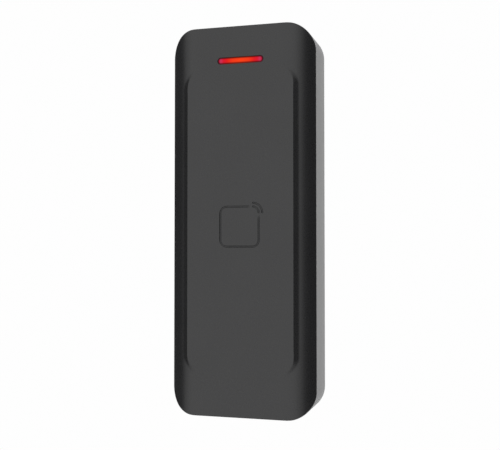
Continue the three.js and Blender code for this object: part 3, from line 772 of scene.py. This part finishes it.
def light_bar_material():
    """Emission from a ramp along the bar, with a painted pink highlight near the ends, dimmed with the
    distance from the bar's long axis.
    """
    material, tree, shader, place = new_material("red_diffusing_polycarbonate", "#1c0202", 0.5,
                                                 Specular_IOR_Level=0.08)
    split = add(tree, "ShaderNodeSeparateXYZ", {}, {"Vector": (place, "Object")})
    along = add(tree, "ShaderNodeMath", {1: slot_x}, {0: (split, "X")}, operation="SUBTRACT")
    along = add(tree, "ShaderNodeMath", {}, {0: (along, "Value")}, operation="ABSOLUTE")
    share = add(tree, "ShaderNodeMath", {1: bar_half_length}, {0: (along, "Value")}, operation="DIVIDE")
    ramp = add(tree, "ShaderNodeValToRGB", {}, {"Fac": (share, "Value")})
    for spot, _ in BAR_GLOW_AND_HIGHLIGHT[1:-1]:
        ramp.color_ramp.elements.new(spot)
    for element, (spot, colour) in zip(ramp.color_ramp.elements, BAR_GLOW_AND_HIGHLIGHT):
        element.position = spot
        element.color = linear(colour)
    past = add(tree, "ShaderNodeMath", {1: bar_half_length - bar_half_height}, {0: (along, "Value")},
               operation="SUBTRACT")
    past = add(tree, "ShaderNodeMath", {1: 0.0}, {0: (past, "Value")}, operation="MAXIMUM")
    up = add(tree, "ShaderNodeMath", {1: slot_z}, {0: (split, "Z")}, operation="SUBTRACT")
    off_axis = add(tree, "ShaderNodeCombineXYZ", {}, {"X": (past, "Value"), "Z": (up, "Value")})
    away = add(tree, "ShaderNodeVectorMath", {}, {0: (off_axis, "Vector")}, operation="LENGTH")
    fade = {"From Min": 0.35 * bar_half_height, "From Max": 0.95 * bar_half_height,
            "To Min": 1.0, "To Max": 0.17}
    glow = add(tree, "ShaderNodeMapRange", fade, {"Value": (away, "Value")}, interpolation_type="SMOOTHSTEP")
    wire(tree, shader, {"Emission Color": (ramp, "Color"), "Emission Strength": (glow, "Result")})
    return material


materials["red_lens"] = light_bar_material()
print("glow ramp with", len(BAR_GLOW_AND_HIGHLIGHT), "stops")

# %% [markdown]
# ## Plated steel and aluminium
# The wall plate and the screws are zinc plated steel: a bluish grey metal with faint rolling lines and cloudy
# spangles in its colour. A noise stretched twenty-five times along Z gives the lines, and a broad one the
# spangles. A drawn aluminium can is the same metal look, brighter and smoother.

# %% Metals
def plated(name, dark, light, rough):
    """Metal with long thin rolling lines along Z in its gloss and broad cloudy patches in its colour."""
    material, tree, shader, place = new_material(name, light, rough, 1.0)
    drawn_out = add(tree, "ShaderNodeMapping", {"Scale": (1, 1, 0.04)}, {"Vector": (place, "Object")})
    lines = add(tree, "ShaderNodeTexNoise", {"Scale": 1 / (2 * 0.25 * MM), "Detail": 3.0},
                {"Vector": (drawn_out, "Vector")})
    clouds = add(tree, "ShaderNodeTexNoise", {"Scale": 1 / (2 * 3.5 * MM), "Detail": 3.0},
                 {"Vector": (place, "Object")})
    share = add(tree, "ShaderNodeMapRange", NOISE_RANGE, {"Value": (clouds, "Fac")})
    tint = add(tree, "ShaderNodeMix", {"A": linear(dark), "B": linear(light)},
               {"Factor": (share, "Result")}, data_type="RGBA")
    gloss = add(tree, "ShaderNodeMapRange",
                {**NOISE_RANGE, "To Min": rough - 0.08, "To Max": rough + 0.08}, {"Value": (lines, "Fac")})
    bump = add(tree, "ShaderNodeBump", {"Distance": 0.006 * MM}, {"Height": (lines, "Fac")})
    wire(tree, shader, {"Base Color": (tint, "Result"), "Roughness": (gloss, "Result"),
                        "Normal": (bump, "Normal")})
    return material


materials["zinc_steel"] = plated("rolled_zinc_plated_steel", "#a9adb0", "#bdc0c2", 0.36)
materials["screw_steel"] = plated("headed_zinc_plated_steel", "#9ea2a6", "#b4b8ba", 0.30)
materials["silver_can"] = plated("drawn_aluminium_can", "#c2c4c6", "#d2d4d6", 0.25)
print(len(materials), "finishes with the metals")

# %% [markdown]
# ## Coil copper
# The coil is wound flat from enamelled copper wire. Its turns are drawn as waves 0.32 mm apart, which is
# coarser than the real wire so that they show, and a clear coat over the metal stands for the enamel.

# %% Enamelled copper
def wound_copper():
    """Copper under clear enamel: fine waves across the coil's width stand for its turns."""
    material, tree, shader, place = new_material("enamelled_copper_wire", "#b5642f", 0.28, 1.0,
                                                 Coat_Weight=0.4)
    turns = add(tree, "ShaderNodeTexWave", {"Scale": 1 / (0.32 * MM) / (2 * math.pi), "Distortion": 0.0},
                {"Vector": (place, "Object")}, bands_direction="DIAGONAL")
    tint = add(tree, "ShaderNodeMix", {"A": linear("#8f4a20"), "B": linear("#c87a40")},
               {"Factor": (turns, "Fac")}, data_type="RGBA")
    bump = add(tree, "ShaderNodeBump", {"Distance": 0.03 * MM}, {"Height": (turns, "Fac")})
    wire(tree, shader, {"Base Color": (tint, "Result"), "Normal": (bump, "Normal")})
    return material


materials["copper"] = wound_copper()
print("copper added")

# %% [markdown]
# ## Circuit boards
# The boards are glass laminate under green solder mask, in which the copper tracks show as slightly lighter
# lines that stand up a little. The edges of irregular cells make such a net of lines without a drawing.

# %% Solder mask
def solder_mask():
    """Green mask over laminate: cells 2.4 mm apart, whose edges read as tracks under the mask."""
    material, tree, shader, place = new_material("green_solder_mask", "#12522c", 0.32, Coat_Weight=0.3)
    flat = add(tree, "ShaderNodeMapping", {"Scale": (1, 0, 1)}, {"Vector": (place, "Object")})
    cells = add(tree, "ShaderNodeTexVoronoi", {"Scale": 1 / (2.4 * MM), "Randomness": 0.75},
                {"Vector": (flat, "Vector")}, feature="DISTANCE_TO_EDGE")
    edges = {"From Min": 0.05, "From Max": 0.09, "To Min": 1.0, "To Max": 0.0}
    track = add(tree, "ShaderNodeMapRange", edges, {"Value": (cells, "Distance")})
    tint = add(tree, "ShaderNodeMix", {"A": linear("#0f4a27"), "B": linear("#1b6b3b")},
               {"Factor": (track, "Result")}, data_type="RGBA")
    bump = add(tree, "ShaderNodeBump", {"Distance": 0.02 * MM}, {"Height": (track, "Result")})
    wire(tree, shader, {"Base Color": (tint, "Result"), "Normal": (bump, "Normal")})
    return material


materials["green_board"] = solder_mask()
print("solder mask added")

# %% [markdown]
# ## Lamps on the board
# Each lamp is a cream nylon body with clear epoxy over its chip. It shines into the white box behind the
# light bar, so a faint red glow on its face is enough.

# %% Lamp material
def lamp_package():
    """A cream body with a slight drift of colour, and a weak red emission from the chip inside."""
    material, tree, shader, place = new_material("lamp_epoxy", "#efe9d8", 0.2, Emission_Strength=0.6,
                                                 Emission_Color=linear("#ff3a1c"))
    grain = add(tree, "ShaderNodeTexNoise", {"Scale": 1 / (2 * 0.3 * MM), "Detail": 2.0},
                {"Vector": (place, "Object")})
    share = add(tree, "ShaderNodeMapRange", NOISE_RANGE, {"Value": (grain, "Fac")})
    tint = add(tree, "ShaderNodeMix", {"A": linear("#e4dcc6"), "B": linear("#f2ecdc")},
               {"Factor": (share, "Result")}, data_type="RGBA")
    wire(tree, shader, {"Base Color": (tint, "Result")})
    return material


materials["lamp_white"] = lamp_package()
print(len(materials), "finishes in all")

# %% [markdown]
# ## Finishing the nodes that stay
# The plate, the boards and the soldered parts keep their construction shape. Pressed, routed and moulded
# edges are never razor sharp, and a bevel of a fraction of a millimetre catches the light along each of them.
# The bevel is a modifier, so the node's own mesh stays as it is. Every part then gets its slot's material.

# %% Bevels and materials
slot_of = {part["node"]: part["material_slot"] for part in frame["record"]["subparts"]}
bevel_of = {"wall_plate": 0.28 * MM, "main_board": 0.08 * MM, "antenna_board": 0.08 * MM}
shown_nodes = [name for name, node in nodes.items() if not node.hide_render]
for name in shown_nodes:
    node = nodes[name]
    weld = node.modifiers.new("weld", "WELD")
    weld.merge_threshold = 0.001 * MM
    bevel = node.modifiers.new("edge", "BEVEL")
    bevel.width = bevel_of.get(name, 0.1 * MM)
    bevel.segments = 2
    bevel.limit_method = "ANGLE"
    bevel.angle_limit = math.radians(40)
    bevel.use_clamp_overlap = True
print(len(shown_nodes), "nodes keep their shape")


def paint(piece, slot):
    """Gives a piece the finish of its slot and no other."""
    piece.data.materials.clear()
    piece.data.materials.append(materials[slot])


for name in shown_nodes:
    paint(nodes[name], slot_of[name])
for name, slot in piece_slots.items():
    paint(bpy.data.objects[name], slot)
print(len(piece_slots), "new pieces painted")

# %% [markdown]
# ## Floor
# A reader hangs on a wall, well above the floor. The floor is a pale painted square 0.4 m below the reader's
# middle. It is matt, so it sends a little light up to the underside and shows no mirror image.

# %% Floor
floor_half = 0.7
floor_z = -0.4
floor_material, floor_tree, floor_shader, floor_place = new_material(
    "pale_painted_floor", "#ececec", 0.9, Specular_IOR_Level=0.2)
roller_marks = add(floor_tree, "ShaderNodeTexNoise", {"Scale": 1 / (2 * 30 * MM), "Detail": 2.0},
                   {"Vector": (floor_place, "Object")})
floor_share = add(floor_tree, "ShaderNodeMapRange", NOISE_RANGE, {"Value": (roller_marks, "Fac")})
floor_tint = add(floor_tree, "ShaderNodeMix", {"A": linear("#ececec"), "B": linear("#f2f2f2")},
                 {"Factor": (floor_share, "Result")}, data_type="RGBA")
wire(floor_tree, floor_shader, {"Base Color": (floor_tint, "Result")})

corners = [(-1, -1), (1, -1), (1, 1), (-1, 1)]
floor_mesh = bpy.data.meshes.new("floor")
floor_points = [(sx * floor_half, sy * floor_half, floor_z) for sx, sy in corners]
floor_mesh.from_pydata(floor_points, [], [(0, 1, 2, 3)])
floor_mesh.materials.append(floor_material)
floor = bpy.data.objects.new("floor", floor_mesh)
bpy.context.collection.objects.link(floor)
print("floor", 2 * floor_half, "m square")

# %% [markdown]
# ## White room with two dark screens
# The reader is shown in a white room, as in a product studio, and the white of the room is the background
# too. Two round dark screens hang in it, one at either side: the flat front mirrors white, and the shoulders
# turn towards the screens, which draws them as dark edges. A screen is where the direction of view has a
# large dot product with the direction of its middle, and taking the size alone gives both screens at once.

# %% Room
SCREEN_TURN = math.radians(80)    # where the right screen hangs: 0 is in front, 90 straight to the right
world = bpy.data.worlds.new("studio")
bpy.context.scene.world = world
bpy.context.scene.view_settings.view_transform = "Standard"
world.use_nodes = True
sky = world.node_tree
sky.nodes.clear()
facing = add(sky, "ShaderNodeTexCoord")
to_screen = add(sky, "ShaderNodeVectorMath", {1: (math.sin(SCREEN_TURN), -math.cos(SCREEN_TURN), 0)},
                {0: (facing, "Generated")}, operation="DOT_PRODUCT")
to_screen = add(sky, "ShaderNodeMath", {}, {0: (to_screen, "Value")}, operation="ABSOLUTE")
white_to_dark = {"From Min": 0.76, "From Max": 0.88, "To Min": 0.99, "To Max": 0.07}
strength = add(sky, "ShaderNodeMapRange", white_to_dark, {"Value": (to_screen, "Value")},
               interpolation_type="SMOOTHSTEP")
room = add(sky, "ShaderNodeBackground", {"Color": linear("#ffffff")}, {"Strength": (strength, "Result")})
add(sky, "ShaderNodeOutputWorld", {}, {"Surface": (room, "Background")})
print("screens at", round(math.degrees(SCREEN_TURN)), "degrees to either side")

# %% [markdown]
# ## Lamp
# One large soft lamp in front, a little to the left and above, adds what the matt front needs to look
# charcoal instead of black. Its sizes are in metres, and its power follows from how bright it should look.

# %% Lamp
def soft_lamp(name, azimuth, elevation, distance, width, height, radiance):
    """A rectangular lamp on a circle round the reader's middle. Azimuth 0 is straight in front, and more is
    to the right. A lamp of radiance 1 looks as bright as white paper: its power is radiance x pi x area."""
    data = bpy.data.lights.new(name, "AREA")
    data.shape = "RECTANGLE"
    data.size = width
    data.size_y = height
    data.energy = radiance * math.pi * width * height
    a = math.radians(azimuth)
    e = math.radians(elevation)
    aim = Vector((math.sin(a) * math.cos(e), -math.cos(a) * math.cos(e), math.sin(e)))
    turned = aim.to_track_quat("Z", "Y").to_matrix().to_4x4()
    lamp = bpy.data.objects.new(name, data)
    lamp.matrix_world = Matrix.Translation(aim * distance) @ turned
    bpy.context.collection.objects.link(lamp)
    print(name, round(data.energy, 2), "W")


soft_lamp("front_softbox", azimuth=-10, elevation=4, distance=1.0, width=1.7, height=1.4, radiance=0.38)
